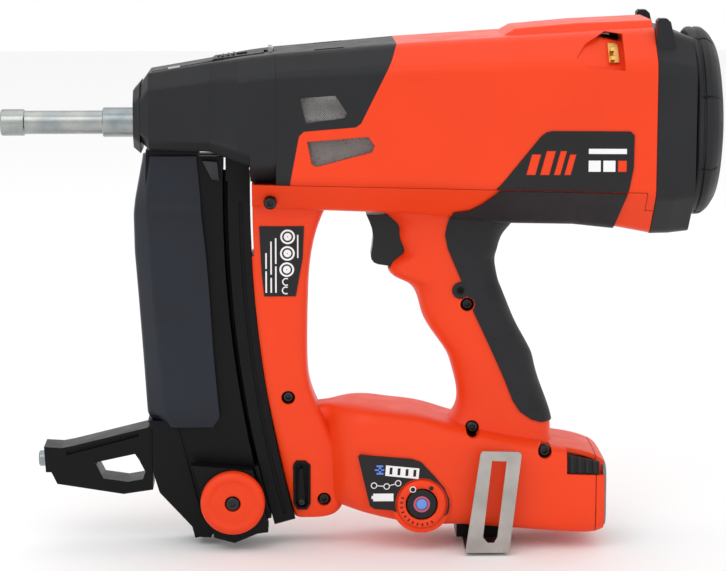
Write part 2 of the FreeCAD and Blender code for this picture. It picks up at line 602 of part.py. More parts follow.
handle_forms = [grip_form(), smooth_loft("Z", POST), smooth_loft("X", BASE)]
left_shell = frame_shell(handle_forms + [boss])
left_shell = left_shell.cut(rod(Vector(dial_x, -60, dial_z), Vector(dial_x, -26, dial_z), dim("dial_radius") + 0.05))
SCREWS = [(160.4, -44.4, 40.0), (170.5, -165.4, 17.0), (192.0, -228.5, 17.5), (278.3, -108.8, 17.4),
          (281.6, -184.1, 21.0), (324.7, -196.5, 31.5)]
for x, z, depth in SCREWS:
    left_shell = left_shell.cut(rod(Vector(x, -depth - 12, z), Vector(x, -depth + 11.5, z),
                                    dim("screw_head_radius") + 0.25))
# The latch bezel is let into the left half only.
bezel_room = prism([(173.3, -231), (173.3, -207), (175.1, -204.3), (180.7, -204.3), (183.7, -207), (183.7, -231),
                    (181.5, -234.7), (175.5, -234.7)], -30, -11.9)
shaped("handle_shell_left", left_shell.cut(bezel_room))
shaped("handle_shell_right", mirrored(frame_shell(handle_forms)))

over_outline = [
    (296, -34.6), (291.8, -38.9), (284.8, -45.3), (277.5, -49.8), (268.4, -51.4), (265.8, -59.9), (264.6, -66.5),
    (266.3, -75),
    (271, -86), (274.3, -93.6), (282.2, -113.7), (292.5, -135.8), (300.8, -154.4), (306, -167.7), (310.4, -174.4),
    (317.7, -179.6), (324.3, -181.6), (334, -181.6), (352, -170), (330, -90), (352, -75), (361.4, -70), (369, -36),
]
# The soft grip ends in a round lobe and leaves a ring free round its screw.
pad_area = prism(over_outline, -90, 90).fuse(rod(Vector(274.1, -90, -100.2), Vector(274.1, 90, -100.2), 5.0))
pad_area = pad_area.cut(rod(Vector(278.3, -90, -108.8), Vector(278.3, 90, -108.8), 4.6))
grown = handle_form(dim("overmould")).fuse(grip_form(dim("overmould")))
plain = rail.fuse([grip_form(), smooth_loft("X", BASE)])
overmould = grown.common(pad_area).cut(plain)
overmould = overmould.common(prism([(120, -33.4), (239, -35.2), (379, -37.3), (379, -300), (120, -300)], -90, 90))
halves("grip_overmould", overmould)

# Raised side panels on the chamber housing, one each side
panel_outline = [(290.2, -38), (317.9, -3.5), (321, -1.2), (324.2, -0.4), (369.6, -0.5), (371.9, -2.8), (371.7, -21.6),
                 (367.9, -42.2)]
panel = body_form(BARREL, 0.7).cut(body_form(BARREL, 0.02)).common(prism(panel_outline, -90, -20))
panel = panel.common(upper_side)
shaped("side_panels", Part.makeCompound([panel, mirrored(panel)]))

# Trigger group

plate("trigger", [(217.9, -55.6), (219.6, -59.4), (221.4, -64.2), (222.1, -69.2), (221.5, -75), (220.7, -80),
                  (221, -82.8), (222.6, -84.8), (225, -85.8), (232.8, -87), (241, -86.8), (248.5, -81),
                  (248.5, -55.6)],
      "-trigger_half_width", "trigger_half_width")
shaped("trigger_spring", coil(3.0, 0.45, 9.0, 4), Placement(Vector(249.1, 0, -64), laid_over))
plate("trigger_switch", [(258.2, -58), (258.2, -80), (272.2, -80), (272.2, -58)], -6, 6)

# Screws, labels and the control panel

screw_bodies = []
for x, z, depth in SCREWS:
    screw = rod(Vector(x, -depth + 2.2, z), Vector(x, -depth + 5.2, z), dim("screw_head_radius"))
    screw = screw.cut(rod(Vector(x, -depth + 2.0, z), Vector(x, -depth + 3.7, z), 1.6))
    screw = screw.fuse(rod(Vector(x, -depth + 5.2, z), Vector(x, -depth + 11, z), 1.9))
    screw_bodies.append(screw)
shaped("shell_screws", Part.makeCompound(screw_bodies))

label_outline = [(153.6, -60.8), (180.4, -60.8), (179.6, -80), (175.3, -103.2), (156.4, -103.2), (155, -90)]
label = prism(label_outline, -17.55, -17.05)
shaped("rating_label", label.cut(smooth_loft("Z", POST)))

panel_line = [(212.2, -198.6), (213.4, -197.3), (244.5, -199.9), (250, -201.8), (258.5, -211), (264.2, -217.9),
              (267, -224.5), (267.3, -229), (266.4, -233.4), (262, -237), (236, -233), (232.7, -231.4),
              (222, -230.4), (219.2, -228.6)]
control_panel = prism(panel_line, -34.2, -25).cut(smooth_loft("X", BASE)).cut(boss)
dial_bore = rod(Vector(dial_x, -60, dial_z), Vector(dial_x, 0, dial_z), dim("dial_radius") + 0.8)
shaped("control_panel", control_panel.cut(dial_bore))


def turned_across(label, profile, x, z, y):
    """Part turned about an axis parallel to Y; profile distances run from the given Y towards +Y."""
    turn = Placement(Vector(x, y, z), Rotation(Vector(0, 0, 1), 90))
    return turned(label, profile, place=turn)


dial_face = dim("dial_face")
turned_across("energy_dial", [(0.6, ("button_radius", 0.3)), (0.6, 12.6), (0, 13.2), (0, ("dial_radius", -1.2)),
                              (1.2, "dial_radius"), (9.8, "dial_radius"), (9.8, ("button_radius", 0.3))],
              dial_x, dial_z, dial_face)
turned_across("energy_button", [(1.2, 0), (0.4, 4.8), (0.4, 6.4), (1.0, ("button_radius", -0.8)),
                                (1.8, "button_radius"), (7.0, "button_radius"), (7.0, 0)],
              dial_x, dial_z, dial_face)
led_bodies = []
LEDS = [(221.7, -215.9, -34.22), (229.3, -216.5, -34.22), (236.2, -214.6, -34.22), (245.0, -218.1, -36.02),
        (256.0, -217.4, -36.02)]
for x, z, face in LEDS:
    led_bodies.append(rod(Vector(x, face - 0.4, z), Vector(x, face, z), 1.3))
shaped("indicator_leds", Part.makeCompound(led_bodies))

# Fuel cell in the front post, its metering valve above it

lean = Placement(Vector(166.2, 0, -62), Rotation(Vector(0, 1, 0), 88.5))
turned("fuel_cell", [(0, 0), (0, ("cell_radius", -3.5)), (2.5, ("cell_radius", -1.5)), (5, "cell_radius"),
                     (("cell_length", -2.0), "cell_radius"), ("cell_length", ("cell_radius", -2.0)),
                     ("cell_length", 0)], place=lean)
valve = block(158, 178, -8, 8, -61, -50).fuse(rod(Vector(168, 0, -51), Vector(168, 0, -44), 3.0))
shaped("metering_valve", valve.removeSplitter())

# Battery slides out of the open rear end of the base

battery_end = smooth_loft("X", BASE).common(block(battery_line + 0.4, 400, -90, 90, -300, -150))
stick = block(dim("battery_front"), battery_line + 2, -dim("battery_half_width"), dim("battery_half_width"),
              -238, -206)
battery = battery_end.fuse(stick).cut(near_side(LATCH_WINDOW, 25.5, 60))
shaped("battery_pack", battery.removeSplitter())
latch = prism([(338.5, -198.8), (357.6, -203), (357.6, -211), (338.5, -209.8)], -31.0, -28.0)
for index in range(4):
    rib_x = 339.8 + 4.6 * index
    rib_z = -199.2 - 1.0 * index
    rib = prism([(rib_x, rib_z), (rib_x + 2.2, rib_z - 0.5), (rib_x + 2.6, -210), (rib_x + 0.4, -209.6)], -32.4, -30)
    latch = latch.fuse(rib)
latch = latch.removeSplitter()
shaped("battery_latch_left", latch)
shaped("battery_latch_right", mirrored(latch))

# Belt hook: a bent strip with a long slot, screwed under a block on the base

hook_face = dim("hook_face")
thick = dim("hook_thickness")
hook = prism([(284.8, -195.6), (285.2, -194.2), (286.4, -193.1), (307.2, -193.6), (308.8, -194.3), (309.5, -195.8),
              (302.6, -255.6), (276.2, -255.6)],
             hook_face, hook_face + thick)
hook = hook.cut(prism([(291.8, -199), (300.6, -199.4), (295.4, -246), (293.4, -249.4), (289.4, -249.4),
                       (286.8, -246)], hook_face - 1, hook_face + thick + 1))
hook = hook.fuse(block(276.4, 302.4, hook_face, 9, -255.6, -255.6 + thick))
for x in (282.5, 296.5):
    hook = hook.cut(rod(Vector(x, -2, -260), Vector(x, -2, -250), 2.1))
shaped("belt_hook", hook.removeSplitter())
hook_mount = block(273, 304.5, -12, 12, -253.98, -238).cut(smooth_loft("X", BASE))
screw_set = []
for x in (282.5, 296.5):
    hook_mount = hook_mount.cut(rod(Vector(x, -2, -260), Vector(x, -2, -247), 2.02))
    pan = rod(Vector(x, -2, -257.2), Vector(x, -2, -255.62), 3.6)
    screw_set.append(pan.fuse(rod(Vector(x, -2, -256), Vector(x, -2, -248), 2.0)))
shaped("hook_block", hook_mount)
shaped("hook_screws", Part.makeCompound(screw_set))

# Magazine: rear rail, channel with front beam and back plate, cover

inner = dim("track_inner")
rail_half = dim("rail_half_width")
rail_solid = track_slab(inner, inner + dim("rail_depth"), -0.9, 15.25, -rail_half, rail_half)
rail_head = prism([(133.8, -34), (133.8, -18.8), (142, -21.6), (147.6, -23.8), (147.6, -34)], -rail_half, rail_half)
rail_solid = rail_solid.fuse(rail_head.cut(block(100, 141.2, -20, 20, -18.9, 0)))
groove = track_slab(inner + 4.2, inner + 6.4, 0.2, 14.9, 12.6, 15)
rail_solid = rail_solid.cut(groove).cut(mirrored(groove))
shaped("magazine_rail", rail_solid)

channel = track_slab(dim("channel_inner"), dim("channel_outer"), -2.0, 14.95, -dim("channel_half_width"),
                     dim("channel_half_width"))
channel = channel.cut(track_slab(dim("channel_inner") - 2, dim("channel_outer") - 3.0, -5, 18,
                                 -dim("nail_slot_half"), dim("nail_slot_half")))
channel = channel.cut(block(60, 200, -20, 20, -dim("block_half_height") - 0.1, 40))
beam_outline = [(85.6, -180), (88.3, -184), (88.3, -211.7), (92.2, -224.5), (112, -246.2), (113.3, -252.3),
                (123.1, -252.8), (125, -249), (118, -240), (104, -185), (102.6, -180)]
beam = prism(beam_outline, -13.6, 13.6)
beam = beam.cut(track_slab(700, dim("channel_outer") - 3.0, -5, 18, -dim("nail_slot_half"), dim("nail_slot_half")))
back_plate = track_slab(inner + 0.2, 770, -1.0, 14.9, rail_half + 0.15, rail_half + 1.6)
back_fill = track_slab(dim("channel_inner"), 770, -1.0, 14.9, dim("channel_half_width"), rail_half + 1.6)
channel = channel.fuse([beam, back_plate, back_fill])
channel = channel.cut(block(60, 200, -20, 20, -19.5, 40).cut(block(60, 118, -20, 20, -30, 40))).removeSplitter()
tab = prism([(120, -21.6), (128.9, -22.3), (130.1, -33.6), (125.6, -32.6)], -16, -12.1)
shaped("magazine_channel", channel)
shaped("feed_gate", tab)

COVER = [(-18, 84, 90, 116.8, 14.5), (-45, 79, 87, 119, 15), (-54, 78, 87.6, 119.4, 17.4),
         (-77, 78.3, 89, 121.9, 17.4), (-103.5, 80.2, 90.4, 123.9, 17.4), (-140, 82.6, 93.4, 126, 17.4),
         (-170, 84.4, 96.4, 128.6, 17.4), (-178, 84.9, 97, 129.5, 17.4), (-184, 94, 101, 124, 16)]


def cover_form(inset):
    """Solid of the magazine cover through its six-sided sections, set in by a margin."""
    wires = []
    for z, front, crease, rear, half in COVER:
        nose_half = half - 10 - 0.4 * inset
        back = rear + 5 if inset else rear
        corners = [(front + inset, -nose_half), (crease + inset, -half + inset), (back, -half + inset),
                   (back, half - inset), (crease + inset, half - inset), (front + inset, nose_half)]
        points = [Vector(x, y, z) for x, y in corners]
        wires.append(Part.makePolygon(points + points[:1]))
    return Part.makeLoft(wires, True, True)


cover = cover_form(0).cut(cover_form(dim("cover_wall")))
cover = cover.cut(track_slab(700, dim("channel_outer") + 0.3, -8, 20, -dim("channel_half_width") - 0.3,
                             dim("channel_half_width") + 0.3)).cut(prism(beam_outline, -13.9, 13.9))
shaped("magazine_cover", max(cover.Solids, key=lambda solid: solid.Volume))

# Pusher: outboard carriage, blade in the nail slot, joined by a web between rail and channel

gap = dim("pusher_clearance")
rail_front = inner + dim("rail_depth")
carriage = prism([(111.7, -204.6), (148.8, -207.9), (158.4, -241.8), (158, -246.2), (151.5, -247.1),
                  (137.7, -252.7), (125.3, -249.3), (114.6, -210.7)], dim("pusher_face"), -18.0)
web_start = 12.3
web_end = 14.8
web = track_slab(rail_front + gap, dim("channel_inner") - gap, web_start, web_end, -20, dim("nail_slot_half") - gap)
finger = track_slab(rail_front + gap, dim("channel_outer") - 3.0 - gap, web_start, web_end,
                    -dim("nail_slot_half") + gap, dim("nail_slot_half") - gap)
carriage = carriage.fuse([web, finger]).removeSplitter()
knob_x = dim("knob_x")
knob_z = dim("knob_z")
carriage = carriage.cut(rod(Vector(knob_x, -40, knob_z), Vector(knob_x, -19, knob_z), 2.0))
shaped("pusher_carriage", carriage)
turned_across("pusher_knob", [(0, 4.6), (0, ("knob_radius", -3.2)), (1.0, ("knob_radius", -1.4)),
                              (2.6, "knob_radius"), ("knob_height", "knob_radius"), ("knob_height", 2.05),
                              (2.4, 2.05), (2.4, 4.6)], knob_x, knob_z, dim("pusher_face") - dim("knob_height"))
turned_across("knob_screw", [(0.6, 0), (0.6, 4.2), (2.38, 4.2), (2.38, 1.98), (13.5, 1.98), (13.5, 0)],
              knob_x, knob_z, dim("pusher_face") - dim("knob_height"))

# Support foot clipped to the front beam, with its steel stud

foot = prism([(22.4, -196.2), (33.1, -196.9), (40, -195.6), (85.7, -184.4), (88.1, -185.9), (88.1, -223.2),
              (70.2, -225.8), (30.1, -219.2), (26.6, -211.9), (23.3, -211.9)],
             -dim("foot_half_width"), dim("foot_half_width"))
foot = foot.cut(prism([(51.5, -206.4), (77.4, -200.9), (79.7, -204.4), (83.5, -212), (82, -216.6), (72.7, -218.2),
                       (58.1, -216), (54, -207.6)], -20, 20))
foot = foot.cut(prism([(36, -201.5), (80, -190), (80, -187.5), (36, -198.8)], -20, -8.5))
foot = foot.cut(rod(Vector(10, 0, -205.6), Vector(36, 0, -205.6), dim("stud_radius") + 0.02))
shaped("support_foot", foot)
turned("foot_stud", [
    ("stud_front", 0), ("stud_front", ("stud_radius", -0.8)), (("stud_front", 0.8), "stud_radius"),
    (("stud_front", 17.0), "stud_radius"), (("stud_front", 17.0), 0),
], place=Placement(Vector(0, 0, -205.6), Rotation()))

# Magazine latch: bezel let into the post, lever turning on a screw

bezel = prism([(173.4, -231), (173.4, -207), (175.2, -204.4), (180.6, -204.4), (183.6, -207), (183.6, -231),
               (181.4, -234.6), (175.6, -234.6)], -17.9, -12)
well = prism([(174.8, -230.6), (174.8, -207.6), (176, -206), (180.4, -206), (182.2, -207.6), (182.2, -230.6),
              (180.6, -233), (176.4, -233)], -18.5, -14)
lever_x = dim("lever_x")
lever_z = dim("lever_z")
bezel = bezel.cut(well).fuse(rod(Vector(lever_x, -14.2, lever_z), Vector(lever_x, -12, lever_z), 2.6))
bezel = bezel.cut(rod(Vector(lever_x, -20, lever_z), Vector(lever_x, -11, lever_z), 1.05))
shaped("latch_bezel", bezel.removeSplitter())
lever = prism([(lever_x - 2.2, lever_z - 0.5), (lever_x - 2.0, -214), (lever_x - 1.0, -209),
               (lever_x + 0.8, -209), (lever_x + 2.2, lever_z - 0.5), (lever_x, lever_z - 2.2)], -17.6, -14.25)
lever = lever.cut(rod(Vector(lever_x, -20, lever_z), Vector(lever_x, -11, lever_z), 1.08))
shaped("latch_lever", lever)
turned_across("lever_screw", [(0, 0), (0, 2.0), (0.9, 2.0), (0.9, 1.0), (6.4, 1.0), (6.4, 0)],
              lever_x, lever_z, -18.55)

doc.recompute()
os.makedirs("parts", exist_ok=True)
faults = []
for label, item in sorted(parts.items()):
    shape = item.Shape
    state = [word for word in item.State if word in ("Invalid", "Error")]
    if shape.isNull() or state or not shape.isValid() or shape.Volume <= 0:
        faults.append(label)
        print("FAULT", label, state, shape.isNull())
        continue
    box = shape.BoundBox
    print("%-22s solids %d volume %9.1f  x %.1f %.1f y %.1f %.1f z %.1f %.1f" % (
        label, len(shape.Solids), shape.Volume, box.XMin, box.XMax, box.YMin, box.YMax, box.ZMin, box.ZMax))
for item in doc.Objects:
    if any(word in ("Invalid", "Error") for word in item.State):
        faults.append(item.Name)
        print("FAULT OBJECT", item.Name, item.State)
if not faults:
    for label, item in parts.items():
        item.Shape.exportStep("parts/%s.step" % label)
print("parts", len(parts), "faults", faults)
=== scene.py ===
# %% [markdown]
# # A gas nailer, finished in Blender
# The shape of this tool was settled beforehand as sixty solid parts in one shared frame, with metres as the
# unit. This lesson gives those parts their looks. Some parts keep their solid and only get a material.
# Others are replaced by a surface worked out with numpy, because a moulded skin or a woven wire needs finer
# shapes.

# %% Load the frame
import math

import bmesh
import bpy
import numpy as np
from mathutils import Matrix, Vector


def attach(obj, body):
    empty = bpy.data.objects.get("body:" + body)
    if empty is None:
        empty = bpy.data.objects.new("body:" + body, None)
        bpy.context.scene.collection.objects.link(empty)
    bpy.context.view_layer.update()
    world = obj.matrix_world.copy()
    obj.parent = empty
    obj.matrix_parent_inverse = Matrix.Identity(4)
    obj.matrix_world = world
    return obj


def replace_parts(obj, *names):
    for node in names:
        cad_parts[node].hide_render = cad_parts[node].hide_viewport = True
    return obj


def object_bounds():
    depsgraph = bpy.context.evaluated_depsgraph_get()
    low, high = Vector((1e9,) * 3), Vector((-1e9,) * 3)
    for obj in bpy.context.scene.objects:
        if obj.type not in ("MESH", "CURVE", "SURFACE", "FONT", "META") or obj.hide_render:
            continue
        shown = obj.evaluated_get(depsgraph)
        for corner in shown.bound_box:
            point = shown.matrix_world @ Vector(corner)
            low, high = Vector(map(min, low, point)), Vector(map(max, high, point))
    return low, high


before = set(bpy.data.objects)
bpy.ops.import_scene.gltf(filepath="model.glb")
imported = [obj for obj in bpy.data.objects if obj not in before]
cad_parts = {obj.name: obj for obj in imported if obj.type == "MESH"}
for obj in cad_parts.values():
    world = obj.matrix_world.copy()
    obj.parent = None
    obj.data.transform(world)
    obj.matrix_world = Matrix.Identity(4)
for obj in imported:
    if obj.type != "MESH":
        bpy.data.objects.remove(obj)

CAD_LOW, CAD_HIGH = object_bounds()
MM = 0.001
print("frame box", [round(v, 4) for v in CAD_LOW], [round(v, 4) for v in CAD_HIGH])

# %% [markdown]
# ## Materials
# Every finish is a small tree of shader nodes. Moulded plastic has a fine spark-eroded grain, which is a
# noise bump at about a third of a millimetre, and slow changes of tone from handling, which is a second,
# larger noise. A bevel node rounds the light over sharp edges, as every moulding has a small radius there.

# %% Node helpers
def new_material(name):
    """Empty node material with its principled shader and output in place."""
    material = bpy.data.materials.new(name)
    material.use_nodes = True
    return material, material.node_tree, material.node_tree.nodes["Principled BSDF"]


def object_space(tree, scale=(1, 1, 1)):
    """Object coordinates through a mapping node, so that a pattern has a real size in metres."""
    coordinates = tree.nodes.new("ShaderNodeTexCoord")
    mapping = tree.nodes.new("ShaderNodeMapping")
    mapping.inputs["Scale"].default_value = scale
    tree.links.new(coordinates.outputs["Object"], mapping.inputs["Vector"])
    return mapping.outputs["Vector"]


def noise(tree, vector, scale, detail=3.0, roughness=0.5):
    """Noise texture with a given number of features per metre."""
    node = tree.nodes.new("ShaderNodeTexNoise")
    node.inputs["Scale"].default_value = scale
    node.inputs["Detail"].default_value = detail
    node.inputs["Roughness"].default_value = roughness
    tree.links.new(vector, node.inputs["Vector"])
    return node.outputs["Fac"]


def ramp(tree, value, stops):
    """Colour ramp from (position, colour) stops."""
    node = tree.nodes.new("ShaderNodeValToRGB")
    elements = node.color_ramp.elements
    while len(elements) < len(stops):
        elements.new(0.5)
    for element, (position, colour) in zip(elements, stops):
        element.position = position
        element.color = (*colour, 1.0)
    tree.links.new(value, node.inputs["Fac"])
    return node.outputs["Color"]


def span(tree, value, low, high):
    """Stretch a 0.3 to 0.7 noise onto a range of numbers."""
    node = tree.nodes.new("ShaderNodeMapRange")
    node.inputs["From Min"].default_value = 0.3
    node.inputs["From Max"].default_value = 0.7
    node.inputs["To Min"].default_value = low
    node.inputs["To Max"].default_value = high
    tree.links.new(value, node.inputs["Value"])
    return node.outputs["Result"]


def bump(tree, height, strength, distance, edge_radius):
    """Bump over a bevelled normal: height in metres is distance times the value."""
    rounded = tree.nodes.new("ShaderNodeBevel")
    rounded.samples = 4
    rounded.inputs["Radius"].default_value = edge_radius
    node = tree.nodes.new("ShaderNodeBump")
    node.inputs["Strength"].default_value = strength
    node.inputs["Distance"].default_value = distance
    tree.links.new(rounded.outputs["Normal"], node.inputs["Normal"])
    tree.links.new(height, node.inputs["Height"])
    return node.outputs["Normal"]


def shade(colour, factor):
    """The same colour, lighter or darker."""
    return tuple(min(1.0, channel * factor) for channel in colour)

# %% [markdown]
# ## Materials: moulded plastic
# The housing, handle and magazine are moulded plastic in orange and several blacks. Each could be one flat
# colour, but then large faces look like paint. One helper makes them all instead, and noise moves the
# colour, the gloss and the surface a little, so that no face is perfectly even.

# %% Moulded plastics and rubber
def moulded(name, colour, rough=0.42, grain=0.00003, grain_scale=3200, spread=0.06, edge=0.0006, coat=0.0,
            specular=0.5):
    """Moulded plastic: tone drifts over centimetres, gloss drifts with it, and a fine grain breaks the shine."""
    material, tree, shader = new_material(name)
    space = object_space(tree)
    drift = noise(tree, space, 22, 4)
    fine = noise(tree, space, grain_scale, 2)
    colours = ramp(tree, drift, [(0.3, shade(colour, 1 - spread)), (0.7, shade(colour, 1 + spread))])
    tree.links.new(colours, shader.inputs["Base Color"])
    gloss = span(tree, noise(tree, space, 90, 5), rough - 0.05, rough + 0.06)
    tree.links.new(gloss, shader.inputs["Roughness"])
    shader.inputs["Specular IOR Level"].default_value = specular
    shader.inputs["Coat Weight"].default_value = coat
    shader.inputs["Coat Roughness"].default_value = 0.25
    tree.links.new(bump(tree, fine, 0.5, grain, edge), shader.inputs["Normal"])
    return material


ORANGE = moulded("orange_housing", (0.79, 0.047, 0.006), rough=0.36, spread=0.03, edge=0.0009, specular=0.24)
ORANGE_DARKER = moulded("orange_handle", (0.80, 0.050, 0.007), rough=0.40, spread=0.03, edge=0.0009,
                        specular=0.24)
BLACK = moulded("black_housing", (0.0125, 0.013, 0.0145), rough=0.44, grain=0.00006, spread=0.10, specular=0.24)
BLACK_DEEP = moulded("magazine_black", (0.0035, 0.0037, 0.0045), rough=0.36, grain=0.00004, spread=0.15,
                     specular=0.14)
COVER_BLUE = moulded("cover_blue_black", (0.007, 0.010, 0.018), rough=0.34, grain=0.00008, grain_scale=900,
                     spread=0.25, specular=0.3)
TRIGGER_BLACK = moulded("trigger_black", (0.010, 0.0105, 0.012), rough=0.30, spread=0.1, specular=0.25)
PANEL = moulded("printed_foil", (0.014, 0.013, 0.014), rough=0.38, specular=0.22, grain=0.00001, spread=0.05,
                edge=0.0002)
PRINT_WHITE = moulded("print_white", (0.80, 0.80, 0.80), rough=0.45, grain=0.00001, spread=0.02, edge=0.0001)
PRINT_BLUE = moulded("print_blue", (0.10, 0.22, 0.70), rough=0.45, grain=0.00001, spread=0.05, edge=0.0001)
GREY = moulded("battery_grey", (0.16, 0.18, 0.19), rough=0.42, spread=0.06, specular=0.3)
BUTTON_BLUE = moulded("button_blue", (0.10, 0.27, 0.72), rough=0.30, grain=0.00001, spread=0.05, coat=0.5)
BUTTON_PINK = moulded("button_ring", (0.50, 0.08, 0.16), rough=0.35, grain=0.00001, spread=0.05)
print("plastics ready")

# %% [markdown]
# ## Materials: grip rubber
# The back of the grip is soft rubber moulded over the plastic, duller than its neighbours and pebbled. The
# pebbles could be modelled, but they are too small to change the outline, so a cell pattern in the bump is
# enough.

# %% Overmoulded rubber
def rubber(name, colour):
    """Soft overmould: rougher, with a pebble texture of cells under a millimetre across."""
    material, tree, shader = new_material(name)
    space = object_space(tree)
    drift = noise(tree, space, 40, 5)
    tree.links.new(ramp(tree, drift, [(0.3, shade(colour, 0.85)), (0.7, shade(colour, 1.2))]),
                   shader.inputs["Base Color"])
    tree.links.new(span(tree, noise(tree, space, 200, 4), 0.50, 0.62), shader.inputs["Roughness"])
    cells = tree.nodes.new("ShaderNodeTexVoronoi")
    cells.inputs["Scale"].default_value = 1400
    tree.links.new(space, cells.inputs["Vector"])
    tree.links.new(bump(tree, cells.outputs["Distance"], 0.4, 0.00008, 0.0008), shader.inputs["Normal"])
    shader.inputs["Specular IOR Level"].default_value = 0.25
    return material


RUBBER = rubber("grip_rubber", (0.0125, 0.013, 0.015))

# %% [markdown]
# ## Materials: metals
# The probe is plated, the hook is brushed sheet and the screws are blackened. Working leaves fine marks in
# one direction. A noise stretched along that direction, used for both gloss and bump, gives them without
# any image.

# %% Metals
def metal(name, colour, rough=0.3, streak=(1, 1, 1), streak_scale=600, depth=0.00003, spread=0.12, tint=None):
    """Metal: streaks follow the working direction, and a slow noise moves between two tints as plating does."""
    material, tree, shader = new_material(name)
    shader.inputs["Metallic"].default_value = 1.0
    space = object_space(tree)
    lines = noise(tree, object_space(tree, streak), streak_scale, 4, 0.6)
    drift = noise(tree, space, 70, 4)
    other = tint or shade(colour, 1 + spread)
    colours = ramp(tree, drift, [(0.32, shade(colour, 1 - spread)), (0.68, other)])
    tree.links.new(colours, shader.inputs["Base Color"])
    tree.links.new(span(tree, lines, rough - 0.08, rough + 0.12), shader.inputs["Roughness"])
    tree.links.new(bump(tree, lines, 0.35, depth, 0.0003), shader.inputs["Normal"])
    return material


ZINC = metal("zinc_plated_steel", (0.27, 0.31, 0.33), rough=0.26, streak=(0.12, 1, 1), tint=(0.38, 0.39, 0.37))
HOOK_STEEL = metal("brushed_hook_steel", (0.42, 0.405, 0.38), rough=0.34, streak=(1, 1, 0.06),
                   streak_scale=1500)
DARK_STEEL = metal("black_oxide_steel", (0.045, 0.045, 0.048), rough=0.36, spread=0.3)
WIRE_STEEL = metal("vent_wire", (0.40, 0.385, 0.37), rough=0.28, spread=0.2)
ALLOY = metal("machined_alloy", (0.66, 0.67, 0.69), rough=0.32, streak=(1, 0.1, 0.1))
BRASS = metal("brass_contact", (0.70, 0.43, 0.13), rough=0.3, spread=0.2)
print("metals ready")

# %% [markdown]
# ## Dressing the solids
# Every solid needs a finish, the hidden ones too, because moving the tool can bring them into sight. They
# could be set one by one, but a table that pairs each finish with the parts that wear it shows at once if a
# part is left plain.

# %% Finish for every solid
FINISHES = {
    ORANGE: ["chamber_housing", "energy_dial", "pusher_knob"],
    ORANGE_DARKER: ["handle_shell_left", "handle_shell_right", "battery_pack"],
    BLACK: ["front_housing", "cylinder_housing", "rear_collar", "rear_cap", "nose_cover", "nose_plate",
            "battery_latch_left", "battery_latch_right", "release_slider"],
    BLACK_DEEP: ["magazine_rail", "magazine_channel", "support_foot", "pusher_carriage", "latch_bezel",
                 "latch_lever", "hook_block", "metering_valve", "trigger_switch"],
    COVER_BLUE: ["magazine_cover"],
    TRIGGER_BLACK: ["trigger", "indicator_leds"],
    RUBBER: ["grip_overmould_left", "grip_overmould_right", "cylinder_bumper", "air_filter"],
    PANEL: ["side_panels", "rating_label", "control_panel"],
    ZINC: ["probe_tube", "linkage_yoke", "probe_spring", "foot_stud", "spark_plug", "fan_motor",
           "trigger_spring"],
    HOOK_STEEL: ["belt_hook", "nose_clip"],
    WIRE_STEEL: ["vent_meshes"],
    DARK_STEEL: ["driver_blade", "feed_gate", "hook_screws", "knob_screw", "lever_screw", "nose_block",
                 "nose_guide", "shell_screws"],
    ALLOY: ["cylinder", "piston", "combustion_sleeve", "cylinder_head", "chamber_fan", "fuel_cell"],
    BRASS: ["contact_inserts"],
    BUTTON_BLUE: ["energy_button"],
}


def dress(node, material):
    """Give one solid its material."""
    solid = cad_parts[node]
    solid.data.materials.clear()
    solid.data.materials.append(material)


for material, nodes in FINISHES.items():
    for node in nodes:
        dress(node, material)
undressed = set(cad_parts) - {node for nodes in FINISHES.values() for node in nodes}
print("dressed", len(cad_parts), "left plain", sorted(undressed))

# %% [markdown]
# ## Surfaces from arrays
# A surface here is a grid of points: an array with one row for each step along it and one column for each
# step round it. The helper turns such a grid into a mesh with whole-array indexing. Several grids of the
# same size may be stacked into one mesh, which suits a set of screws or the wires of a mesh.

# %% Grid surface helper
def skin(name, points, material, body, closed_rows=False, closed_columns=True, caps=(False, False), sharp=35):
    """Mesh over an array (grids, rows, columns, xyz) in millimetres; open ends of a tube may be capped."""
    points = np.asarray(points, dtype=float)
    if points.ndim == 3:
        points = points[None]
    grids, rows, columns, _ = points.shape
    index = np.arange(grids * rows * columns).reshape(grids, rows, columns)
    ends = []
    if caps[0]:
        ends += index[:, 0].tolist()
    if caps[1]:
        ends += index[:, -1].tolist()
    if closed_rows:
        index = np.concatenate([index, index[:, :1]], axis=1)
    if closed_columns:
        index = np.concatenate([index, index[:, :, :1]], axis=2)
    quads = np.stack([index[:, :-1, :-1], index[:, 1:, :-1], index[:, 1:, 1:], index[:, :-1, 1:]], axis=-1)
    mesh = bpy.data.meshes.new(name)
    mesh.from_pydata((points.reshape(-1, 3) * MM).tolist(), [], quads.reshape(-1, 4).tolist() + ends)
    tidy = bmesh.new()
    tidy.from_mesh(mesh)
    bmesh.ops.remove_doubles(tidy, verts=tidy.verts, dist=1e-6)
    bmesh.ops.recalc_face_normals(tidy, faces=tidy.faces)
    tidy.to_mesh(mesh)
    tidy.free()
    mesh.polygons.foreach_set("use_smooth", np.ones(len(mesh.polygons), dtype=bool))
    mesh.set_sharp_from_angle(angle=math.radians(sharp))
    mesh.materials.append(material)
    item = bpy.data.objects.new(name, mesh)
    bpy.context.scene.collection.objects.link(item)
    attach(item, body)
    return item


